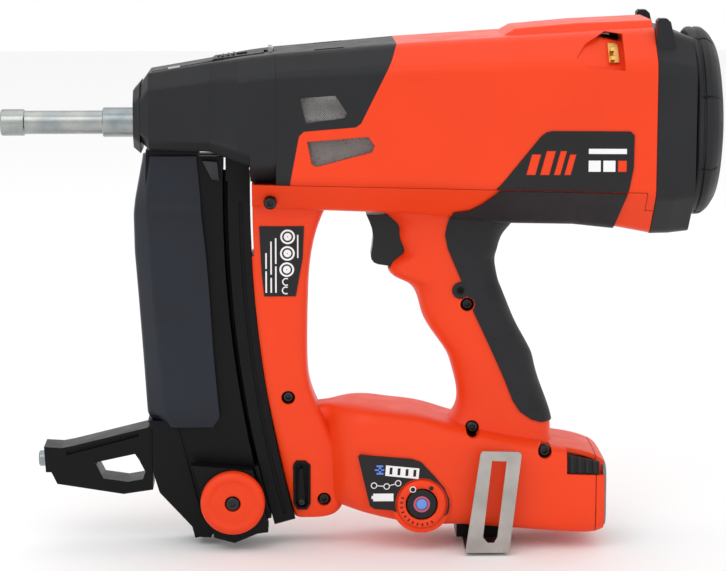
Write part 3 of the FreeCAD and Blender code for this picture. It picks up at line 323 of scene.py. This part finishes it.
def rounded_profile(corners, radius, steps=4):
    """Lines (..., n, 2) whose inner corners p become quadratic arcs (1-t)^2 a + 2t(1-t) p + t^2 b."""
    corners = np.asarray(corners, dtype=float)
    middle = corners[..., 1:-1, :]
    before = corners[..., :-2, :] - middle
    after = corners[..., 2:, :] - middle
    reach_before = np.linalg.norm(before, axis=-1, keepdims=True)
    reach_after = np.linalg.norm(after, axis=-1, keepdims=True)
    cut = np.minimum(radius, 0.45 * np.minimum(reach_before, reach_after))
    start = middle + before / reach_before * cut
    end = middle + after / reach_after * cut
    t = np.linspace(0, 1, steps + 1)[:, None]
    arcs = (1 - t) ** 2 * start[..., None, :] + 2 * t * (1 - t) * middle[..., None, :] \
        + t ** 2 * end[..., None, :]
    arcs = arcs.reshape(*corners.shape[:-2], -1, 2)
    return np.concatenate([corners[..., :1, :], arcs, corners[..., -1:, :]], axis=-2)

# %% [markdown]
# ## The rear cap
# The cap is a lathe surface: a profile of distance along X and radius, turned about the drive axis. Eight
# short grooves for the fingers are pressed into its rim. Each groove lowers the radius where the angle is
# close to the groove's own angle, and fades out towards the domed face.

# %% Rear cap
def smooth_step(value, low, high):
    """0 below low, 1 above high, and 3t^2 - 2t^3 between them."""
    t = np.clip((value - low) / (high - low), 0, 1)
    return t * t * (3 - 2 * t)


CAP_PROFILE = rounded_profile([(408.4, 41.2), (408.4, 54.6), (410, 56.3), (412.4, 56.3), (413, 55.5),
                               (413.8, 55.5), (414.4, 56.3), (417.8, 56.3), (421.6, 53.2), (424.6, 48.6),
                               (425.4, 46.4), (425.1, 44.4), (425.9, 42.6), (427.3, 36), (428.4, 22),
                               (428.7, 1.2)], 1.6)
GROOVE_STEP = 45
FIRST_GROOVE = 19.6
GROOVE_HALF_WIDTH = 0.75
GROOVE_DEPTH = 1.1
CAP_TURNS = np.linspace(0, 2 * np.pi, 576, endpoint=False)
cap_x = CAP_PROFILE[:, :1]
cap_radius = CAP_PROFILE[:, 1:]
groove_angle = np.degrees(CAP_TURNS)[None, :] - FIRST_GROOVE
groove_angle = (groove_angle + GROOVE_STEP / 2) % GROOVE_STEP - GROOVE_STEP / 2
groove = np.exp(-(groove_angle / GROOVE_HALF_WIDTH) ** 4) * smooth_step(cap_x, 411, 412) \
    * (1 - smooth_step(cap_x, 420, 423.4))
cap_rings = cap_radius - GROOVE_DEPTH * groove
cap_points = np.stack([cap_x + 0 * cap_rings, -cap_rings * np.cos(CAP_TURNS), cap_rings * np.sin(CAP_TURNS)],
                      axis=-1)
inner_profile = np.array([(425.9, 1.2), (425, 36), (422.3, 41.2)])[:, :, None]
inner_points = np.stack([inner_profile[:, 0] + 0 * CAP_TURNS, -inner_profile[:, 1] * np.cos(CAP_TURNS),
                         inner_profile[:, 1] * np.sin(CAP_TURNS)], axis=-1)
cap_points = np.concatenate([cap_points, inner_points])
cap = skin("cap_skin", cap_points, BLACK, "cap_group", closed_rows=True, sharp=40)
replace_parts(cap, "rear_cap")

# %% [markdown]
# ## Woven vents
# The vents are covered by a plain-woven wire cloth laid on the diagonal. A wire follows a cosine in and out
# of the cloth with one half-wave for each wire it crosses, and its neighbours run with the opposite phase.

# %% Wire cloth
UPPER_WINDOW = np.array([(176.6, 20.4), (199.8, 21.6), (207.4, 9.8), (205.2, 4.8), (180.0, 1.4)])
LOWER_WINDOW = np.array([(180.4, -5.4), (218.6, -2.4), (223.4, -9.2), (221.2, -15), (187.2, -23.8),
                         (183, -21.2)])
HOUSING_FRONT_X = 164
HOUSING_FRONT_Y = 45
HOUSING_RISE = 4
HOUSING_RUN = 74
CLOTH_DEPTH = 2.75
WINDOW_REACH = 26


def wires(window, turn, phase, pitch=0.95, wire=0.2, lift=0.16, steps=56):
    """Array of wire tubes (wires, steps, 6, xyz) on the near cloth, cut to a convex window of XZ corners.

    Centre line: c + s d + k pitch e + lift cos(pi (s / pitch + k + phase)) n, and a circle of the wire's radius
    about it, where d is the wire's direction in the cloth and e is the direction across the wires."""
    centre = window.mean(axis=0)
    along = np.array([math.cos(turn), math.sin(turn)])
    across = np.array([-along[1], along[0]])
    count = int(WINDOW_REACH / pitch)
    offsets = np.arange(-count, count + 1)
    origins = centre + offsets[:, None] * pitch * across
    edge = np.roll(window, -1, axis=0) - window
    outward = np.stack([edge[:, 1], -edge[:, 0]], axis=1)
    outward *= np.sign(((window - centre) * outward).sum(axis=1))[:, None]
    slope = outward @ along
    room = ((window[None] - origins[:, None]) * outward[None]).sum(axis=2) / slope[None]
    high = np.where(slope[None] > 0, room, np.inf).min(axis=1)
    low = np.where(slope[None] < 0, room, -np.inf).max(axis=1)
    kept = high - low > 1.0
    s = low[kept, None] + (high - low)[kept, None] * np.linspace(0, 1, steps)[None]
    flat = origins[kept, None] + s[..., None] * along
    height = lift * np.cos(np.pi * (s / pitch + offsets[kept, None] + phase))
    ring = np.linspace(0, 2 * np.pi, 6, endpoint=False)
    x = flat[..., :1] + wire * np.cos(ring) * across[0]
    z = flat[..., 1:] + wire * np.cos(ring) * across[1]
    cloth = HOUSING_FRONT_Y + (flat[..., :1] - HOUSING_FRONT_X) * HOUSING_RISE / HOUSING_RUN - CLOTH_DEPTH
    return np.stack([x, -(cloth + height[..., None] + wire * np.sin(ring)), z], axis=-1)


for label, window in (("upper", UPPER_WINDOW), ("lower", LOWER_WINDOW)):
    cloth = np.concatenate([wires(window, math.radians(45), 0), wires(window, math.radians(-45), 1)])
    for side, sign in (("left", 1), ("right", -1)):
        vent = skin("vent_cloth_%s_%s" % (label, side), cloth * (1, sign, 1), WIRE_STEEL, "housing",
                    caps=(True, True))
        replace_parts(vent, "vent_meshes")
print("vents ready")

# %% [markdown]
# ## Screws with six-lobe sockets
# The profile of a head runs from the middle of the socket, up its wall and over the domed rim. Inside the
# socket the radius is multiplied by 1 + 0.14 cos 6a, which gives the six lobes.

# %% Screw heads
LOBE_DEPTH = 0.14
LOBE_TURN = 0.3


def screw_heads(name, places, radius, socket, height, material, body, down="Y"):
    """Stack of domed heads at (x, y, z) seats; each stands out by its height from the seat towards -Y or -Z."""
    angle = np.linspace(0, 2 * np.pi, 72, endpoint=False)
    profile = np.array([(0.02, 0.9), (0.6, 0.9), (0.98, 0.9), (1.0, 0.55), (1.02, 0.02), (1.16, 0)])
    inner = np.stack([profile[:, 0] * socket, profile[:, 1] * height], axis=1)
    outer = rounded_profile([(1.16 * socket, 0), (0.72 * radius, 0.03 * height), (0.93 * radius, 0.3 * height),
                             (radius, 0.62 * height), (radius, height)], 0.3, 3)
    rows = np.concatenate([inner, outer[1:], [(0.02 * radius, height)]])
    lobes = (rows[:, 0] < 1.1 * socket)[:, None] * LOBE_DEPTH * np.cos(6 * (angle + LOBE_TURN))[None]
    radii = rows[:, :1] * (1 + lobes)
    depth = rows[:, 1:] - height + 0 * radii
    if down == "Y":
        head = np.stack([radii * np.cos(angle), depth, radii * np.sin(angle)], axis=-1)
    else:
        head = np.stack([radii * np.cos(angle), radii * np.sin(angle), depth], axis=-1)
    heads = head[None] + np.asarray(places, dtype=float)[:, None, None]
    return skin(name, heads, material, body, closed_rows=True)


SHELL_SEATS = [(160.4, -34.8, -44.4), (170.5, -11.8, -165.4), (192.0, -12.3, -228.5), (278.3, -12.2, -108.8),
               (281.6, -15.8, -184.1), (324.7, -26.3, -196.5)]
KNOB_SEAT = [(136.8, -31.65, -227.1)]
LEVER_SEAT = [(178.4, -17.65, -230.1)]
HOOK_SEATS = [(282.5, -2, -255.7), (296.5, -2, -255.7)]
shell_heads = screw_heads("shell_screw_heads", SHELL_SEATS, 3.85, 1.7, 3.0, DARK_STEEL, "housing")
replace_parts(shell_heads, "shell_screws")
knob_head = screw_heads("knob_screw_head", KNOB_SEAT, 4.15, 1.7, 1.7, DARK_STEEL, "pusher_group")
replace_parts(knob_head, "knob_screw")
lever_head = screw_heads("lever_screw_head", LEVER_SEAT, 1.95, 0.9, 0.9, DARK_STEEL, "lever_group")
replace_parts(lever_head, "lever_screw")
hook_heads = screw_heads("hook_screw_heads", HOOK_SEATS, 3.5, 1.6, 1.4, DARK_STEEL, "housing", down="Z")
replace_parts(hook_heads, "hook_screws")
screw_heads("grip_lobe_screw", [(274.1, -18.5, -100.2)], 2.3, 1.0, 0.5, BLACK_DEEP, "housing")
print("screws ready")

# %% [markdown]
# ## Dial, button and knob
# These are turned about an axis that points out of the tool's left side. A profile gives the depth behind
# the face and the radius, from the outer edge at the back, over the face, and back inside.

# %% Turned controls
def turned_piece(name, profile, centre, material, body, radius=0.5, segments=128):
    """Lathe about the line through (x, y, z) along Y: point = (x + r cos a, y + depth, z + r sin a)."""
    angle = np.linspace(0, 2 * np.pi, segments, endpoint=False)[None]
    rows = rounded_profile(profile, radius)
    points = np.stack([centre[0] + rows[:, 1:] * np.cos(angle), centre[1] + rows[:, :1] + 0 * angle,
                       centre[2] + rows[:, 1:] * np.sin(angle)], axis=-1)
    return skin(name, points, material, body, closed_rows=True, sharp=45)


KNOB_AT = (136.8, -34.0, -227.1)
KNOB_PROFILE = [(6.95, 4.7), (6.95, 19.4), (2.9, 19.4), (1.2, 18.6), (0.1, 16.6), (0.05, 14.9), (0.7, 13.4),
                (0.9, 12.4), (0.9, 5.6), (1.3, 4.7), (6.95, 4.7)]
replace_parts(turned_piece("knob_skin", KNOB_PROFILE, KNOB_AT, ORANGE, "pusher_group", 0.8), "pusher_knob")
DIAL_AT = (250.4, -36.0, -227.5)
DIAL_PROFILE = [(9.7, 9.7), (9.7, 14.9), (1.6, 14.9), (0.5, 14.3), (0.02, 13.4), (0.02, 11.2), (0.7, 10.2),
                (0.8, 9.7), (9.7, 9.7)]
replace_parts(turned_piece("dial_skin", DIAL_PROFILE, DIAL_AT, ORANGE, "housing", 0.4), "energy_dial")
DISC_PROFILE = [(6.9, 0.05), (6.9, 9.1), (1.6, 9.1), (1.0, 8.6), (0.9, 5.4), (0.9, 0.05)]
RING_PROFILE = [(1.2, 3.5), (1.2, 5.1), (0.7, 4.9), (0.6, 3.7), (1.2, 3.5)]
DOME_PROFILE = [(1.2, 0.05), (1.2, 3.5), (0.6, 3.1), (0.35, 1.8), (0.3, 0.05)]
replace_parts(turned_piece("button_disc", DISC_PROFILE, DIAL_AT, BLACK, "button_group", 0.3), "energy_button")
turned_piece("button_ring", RING_PROFILE, DIAL_AT, BUTTON_PINK, "button_group", 0.1)
turned_piece("button_dome", DOME_PROFILE, DIAL_AT, BUTTON_BLUE, "button_group", 0.6)
print("controls ready")

# %% [markdown]
# ## Prints
# A print is a very thin raised patch, so that it keeps its edge from any distance. A patch is a grid of XZ
# points laid on a face, whose distance from the middle plane is a function of X. Marks here are plain bars
# and rings.

# %% Patch helpers
def bars(corners, rows=5):
    """Grids (bars, rows, 2, xz) between the two long sides of four-cornered bars, by straight interpolation."""
    corners = np.asarray(corners, dtype=float)
    t = np.linspace(0, 1, rows)[None, :, None, None]
    first = np.stack([corners[:, 0], corners[:, 3]], axis=1)[:, None]
    last = np.stack([corners[:, 1], corners[:, 2]], axis=1)[:, None]
    return first * (1 - t) + last * t


def rings(centres, inner, outer, start=0.0, end=360.0, rows=48):
    """Grids (rings, rows, 2, xz) of ring sectors between two radii and two angles in degrees."""
    angle = np.radians(np.linspace(start, end, rows, endpoint=abs(end - start) < 359))
    ray = np.stack([np.cos(angle), np.sin(angle)], axis=-1)[None, :, None]
    return np.asarray(centres, dtype=float)[:, None, None] + ray * np.array([inner, outer])[None, None, :, None]


def printed(name, grids, face, material, body, closed=False, side=-1, depth=0.08):
    """Thin closed patches on a face: |y| = face(x) in front and face(x) - depth behind."""
    front = np.stack([grids[..., 0], side * face(grids[..., 0]), grids[..., 1]], axis=-1)
    back = front - np.array([0, side * depth, 0])
    loops = np.concatenate([front, back[:, :, ::-1]], axis=2)
    return skin(name, loops, material, body, closed_rows=closed, caps=(not closed, not closed), sharp=20)

# %% [markdown]
# ## The side panels
# Both panels flare towards the rear, so their prints lie on a face that follows X. The far side mirrors the
# near one.

# %% Side panel prints
def barrel_side(x):
    """Half width of the side panels' outer face."""
    return np.interp(x, [238, 300, 340, 366, 385], [49, 53, 55.4, 56.9, 58]) + 0.74


def slanted(x, width, low, high, lean=0.27):
    """Four corners of a leaning upright bar."""
    shift = lean * (high - low)
    return [(x, low), (x + shift, high), (x + width + shift, high), (x + width, low)]


def box_bar(x0, x1, z0, z1):
    """Four corners of a level bar."""
    return [(x0, z0), (x1, z0), (x1, z1), (x0, z1)]


MARK = [slanted(309.5, 5.2, -26, -14), slanted(317.5, 5.2, -26, -12), slanted(325.5, 3.6, -26, -12),
        slanted(331.5, 3.6, -26, -14)]
SMALL = [box_bar(345.5, 367.5, -13.6, -10.6), box_bar(345.5, 352.5, -24, -17.5), box_bar(354, 361, -24, -17.5)]
LAST_BAR = [box_bar(362.5, 367.5, -24, -17.5)]
for side, label in ((-1, "left"), (1, "right")):
    printed("side_mark_%s" % label, bars(MARK), barrel_side, ORANGE, "housing", side=side)
    printed("side_bars_%s" % label, bars(SMALL), barrel_side, PRINT_WHITE, "housing", side=side)
    printed("side_last_bar_%s" % label, bars(LAST_BAR), barrel_side, ORANGE, "housing", side=side)

# %% [markdown]
# ## The rating label
# The label on the front post carries rings and lines only. Its face is flat, so the helper gives one
# distance.

# %% Label prints
def flat(distance):
    """Face at one distance from the middle plane."""
    return lambda x: distance + 0 * x


LABEL_FACE = flat(17.59)
ICONS = [(170.6, -67.2), (170.4, -77.2), (170.0, -87.0)]
printed("label_rings", rings(ICONS, 3.3, 4.4), LABEL_FACE, PRINT_WHITE, "housing", closed=True)
printed("label_discs", rings(ICONS, 0.3, 2.3), LABEL_FACE, PRINT_WHITE, "housing", closed=True)
ARCS = [(169.6, -94.4), (169.4, -99.6)]
printed("label_arcs", rings(ARCS, 1.7, 2.4, 60, 300), LABEL_FACE, PRINT_WHITE, "housing")
printed("label_lines", bars([box_bar(157.2, 158.1, -101, -88), box_bar(157.2, 158.1, -86.5, -77),
                             box_bar(160.2, 161.1, -101, -92), box_bar(160.2, 161.1, -90, -70),
                             box_bar(163.0, 163.9, -101, -85), box_bar(163.0, 163.9, -83.5, -68),
                             box_bar(176.2, 177.0, -80, -66)]), LABEL_FACE, PRINT_WHITE, "housing")

# %% [markdown]
# ## The control panel
# A gauge with four windows, a small battery, a flake and three joined rings sit beside the dial. The ticks
# on the dial are short bars: a ray from the middle at each angle, widened by the direction across it.

# %% Panel and dial prints
PANEL_FACE = flat(34.24)
DIAL_FACE = flat(36.0)
printed("panel_gauge", bars([[(228.4, -209.9), (248.4, -212.1), (249.0, -205.6), (228.9, -203.5)]]), PANEL_FACE,
        PRINT_WHITE, "housing")
windows = [slanted(x, 1.7, z - 4.2, z, 0.07) for x, z in ((230.9, -204.9), (235.7, -205.4), (240.5, -205.9),
                                                           (245.2, -206.4))]
printed("gauge_windows", bars(windows), flat(34.3), PANEL, "housing")
printed("panel_battery", bars([box_bar(221.2, 233.4, -225.6, -220.9), box_bar(220.2, 221.3, -224.2, -222.3)]),
        PANEL_FACE, PRINT_WHITE, "housing")
printed("panel_symbol", bars([box_bar(223.2, 227.2, -204.6, -203.5), box_bar(223.2, 227.4, -209.2, -208.1),
                              box_bar(224.6, 226.0, -208.2, -204.5), box_bar(222.2, 227.8, -206.9, -205.9)]),
        PANEL_FACE, PRINT_BLUE, "housing")
printed("level_rings", rings([(221.7, -215.9), (229.3, -216.5), (236.2, -214.6)], 1.35, 1.95), PANEL_FACE,
        PRINT_WHITE, "housing", closed=True)
printed("level_line", bars([[(223.7, -216.3), (227.3, -216.6), (227.3, -216.1), (223.7, -215.8)],
                            [(231.1, -216.2), (234.5, -215.3), (234.5, -214.8), (231.1, -215.7)]]), PANEL_FACE,
        PRINT_WHITE, "housing")
printed("dial_ring", rings([(245.0, -218.1)], 1.35, 1.95), DIAL_FACE, PRINT_WHITE, "housing", closed=True)
TICKS = np.radians(np.arange(160, 301, 14))
tick_ray = np.stack([np.cos(TICKS), np.sin(TICKS)], axis=-1)[:, None, None]
tick_side = np.stack([-np.sin(TICKS), np.cos(TICKS)], axis=-1)[:, None, None]
ticks = np.array([DIAL_AT[0], DIAL_AT[2]]) + tick_ray * np.array([11.4, 13.2])[None, :, None, None] \
    + tick_side * np.array([-0.45, 0.45])[None, None, :, None]
printed("dial_ticks", ticks, DIAL_FACE, PANEL, "housing")
icon = np.array([(100.4, 33.9), (107.6, 35.1), (107.6, 30.3), (100.4, 29.2)])
printed("nose_icon", bars([icon]), flat(15.1), PRINT_WHITE, "housing")
print("prints ready")

# %% [markdown]
# ## The magazine cover
# The cover is one thin shell. Each section is a bent line round the front of the magazine, given by its
# front, crease, rear and half width. The sections are read off at many heights and averaged with their
# neighbours, which softens the folds at the neck, and the corners of each section are rounded.

# %% Cover shell
COVER_TOP = -19
COVER_BOTTOM = -183.6
COVER_WALL = 1.8
COVER_ROWS = np.array([
    (COVER_TOP, 84.4, 90, 116.6, 14.3), (-45, 79.4, 87.4, 118.8, 14.9), (-54, 78.4, 88, 119.2, 17.2),
    (-77, 78.7, 89.4, 121.7, 17.2), (-103.5, 80.6, 90.8, 123.7, 17.2), (-140, 83, 93.8, 125.8, 17.2),
    (-170, 84.8, 96.8, 128.4, 17.2), (-178, 85.3, 97.4, 129.3, 17.2), (COVER_BOTTOM, 93, 101, 124.4, 16)])
heights = np.linspace(COVER_TOP, COVER_BOTTOM, 110)
spread = np.linspace(-2.6, 2.6, 7)[:, None]
near = np.clip(heights[None] + spread, COVER_BOTTOM, COVER_TOP)
shape = [np.interp(-near, -COVER_ROWS[:, 0], COVER_ROWS[:, column]).mean(axis=0) for column in range(1, 5)]


def cover_section(inset):
    """Rounded bent line (rows, points, xy) of every section, set in by a margin."""
    front, crease, rear, half = shape
    nose = half - 9.6 - 0.4 * inset
    side = half - inset
    corners = np.stack([np.stack([rear, -side], axis=-1), np.stack([crease + 0.4 * inset, -side], axis=-1),
                        np.stack([front + inset, -nose], axis=-1), np.stack([front + inset, nose], axis=-1),
                        np.stack([crease + 0.4 * inset, side], axis=-1), np.stack([rear, side], axis=-1)],
                       axis=1)
    return rounded_profile(corners, 2.4, 5)


outer_lines = cover_section(0)
inner_lines = cover_section(COVER_WALL)[:, ::-1]
lines = np.concatenate([outer_lines, inner_lines], axis=1)
cover_points = np.stack([lines[..., 0], lines[..., 1], heights[:, None] + 0 * lines[..., 0]], axis=-1)
cover = skin("cover_skin", cover_points, COVER_BLUE, "housing", caps=(True, True), sharp=50)
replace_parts(cover, "magazine_cover")

# %% [markdown]
# ## The end of the battery
# A grey plate closes the battery. Its outline is a superellipse, |y / b|^p + |z / c|^p = 1 with p = 6, and
# its rows step outwards and round over to the flat rear face.

# %% Battery end plate
PLATE_POWER = 6
PLATE_HALF_WIDTH = 30.6
PLATE_HALF_HEIGHT = 20.6
PLATE_MIDDLE_Z = -224.6
around = np.linspace(0, 2 * np.pi, 160, endpoint=False)
outline_y = np.sign(np.cos(around)) * np.abs(np.cos(around)) ** (2 / PLATE_POWER)
outline_z = np.sign(np.sin(around)) * np.abs(np.sin(around)) ** (2 / PLATE_POWER)
plate_rows = rounded_profile([(360.2, 1.0), (361.6, 1.0), (362.3, 0.96), (362.5, 0.9), (362.5, 0.02)], 0.5, 5)
plate = np.stack([plate_rows[:, :1] + 0 * around, PLATE_HALF_WIDTH * plate_rows[:, 1:] * outline_y,
                  PLATE_MIDDLE_Z + PLATE_HALF_HEIGHT * plate_rows[:, 1:] * outline_z], axis=-1)
skin("battery_plate", plate, GREY, "battery_group", caps=(True, True), sharp=40)
print("all surfaces ready")

# %% [markdown]
# ## Floor and air
# The tool stands on a wide pale floor, a hair below its lowest point, in even white light from all round.

# %% Floor and world
FLOOR_SIZE = 8.0
FLOOR_GAP = 0.0005
floor_mesh = bpy.data.meshes.new("studio_floor")
half_floor = FLOOR_SIZE / 2
floor_z = CAD_LOW[2] - FLOOR_GAP
floor_corners = [(x * half_floor, y * half_floor, floor_z) for x, y in ((-1, -1), (1, -1), (1, 1), (-1, 1))]
floor_mesh.from_pydata(floor_corners, [], [(0, 1, 2, 3)])
floor = bpy.data.objects.new("studio_floor", floor_mesh)
bpy.context.scene.collection.objects.link(floor)
floor_mesh.materials.append(moulded("floor_paper", (0.92, 0.92, 0.92), rough=0.8, grain=0.0, spread=0.0))

world = bpy.data.worlds.new("studio_air")
bpy.context.scene.world = world
world.use_nodes = True
world.node_tree.nodes["Background"].inputs["Color"].default_value = (1.0, 1.0, 1.0, 1.0)
world.node_tree.nodes["Background"].inputs["Strength"].default_value = 1.0

# %% [markdown]
# ## Lights and camera
# Three large soft lights shape the tool. The camera looks from its left side, slightly above it and a
# little forward of its middle, through a long lens that keeps the outline almost flat.

# %% Lights and camera
def soft_light(name, place, aim, size, power):
    """Square area light at a place, turned towards a point."""
    lamp = bpy.data.lights.new(name, "AREA")
    lamp.size = size
    lamp.energy = power
    item = bpy.data.objects.new(name, lamp)
    item.location = place
    item.rotation_euler = (Vector(aim) - Vector(place)).to_track_quat("-Z", "Y").to_euler()
    bpy.context.scene.collection.objects.link(item)


AIM = (0.216, 0.0, -0.099)
soft_light("key_light", (-0.5, -1.3, 1.3), AIM, 1.2, 7)
soft_light("fill_light", (1.3, -1.2, 0.6), AIM, 1.4, 2)
soft_light("top_light", (0.2, 0.3, 1.6), AIM, 1.6, 5)

camera_data = bpy.data.cameras.new("camera")
camera = bpy.data.objects.new("camera", camera_data)
camera.location = (0.169, -1.530, 0.157)
camera.rotation_euler = (Vector(AIM) - camera.location).to_track_quat("-Z", "Y").to_euler()
camera_data.sensor_width = 36.0
camera_data.lens = 127.0
camera_data.shift_x = 0.0003
camera_data.shift_y = -0.0018
bpy.context.scene.collection.objects.link(camera)
bpy.context.scene.camera = camera
bpy.context.scene.view_settings.view_transform = "Standard"
bpy.context.view_layer.update()
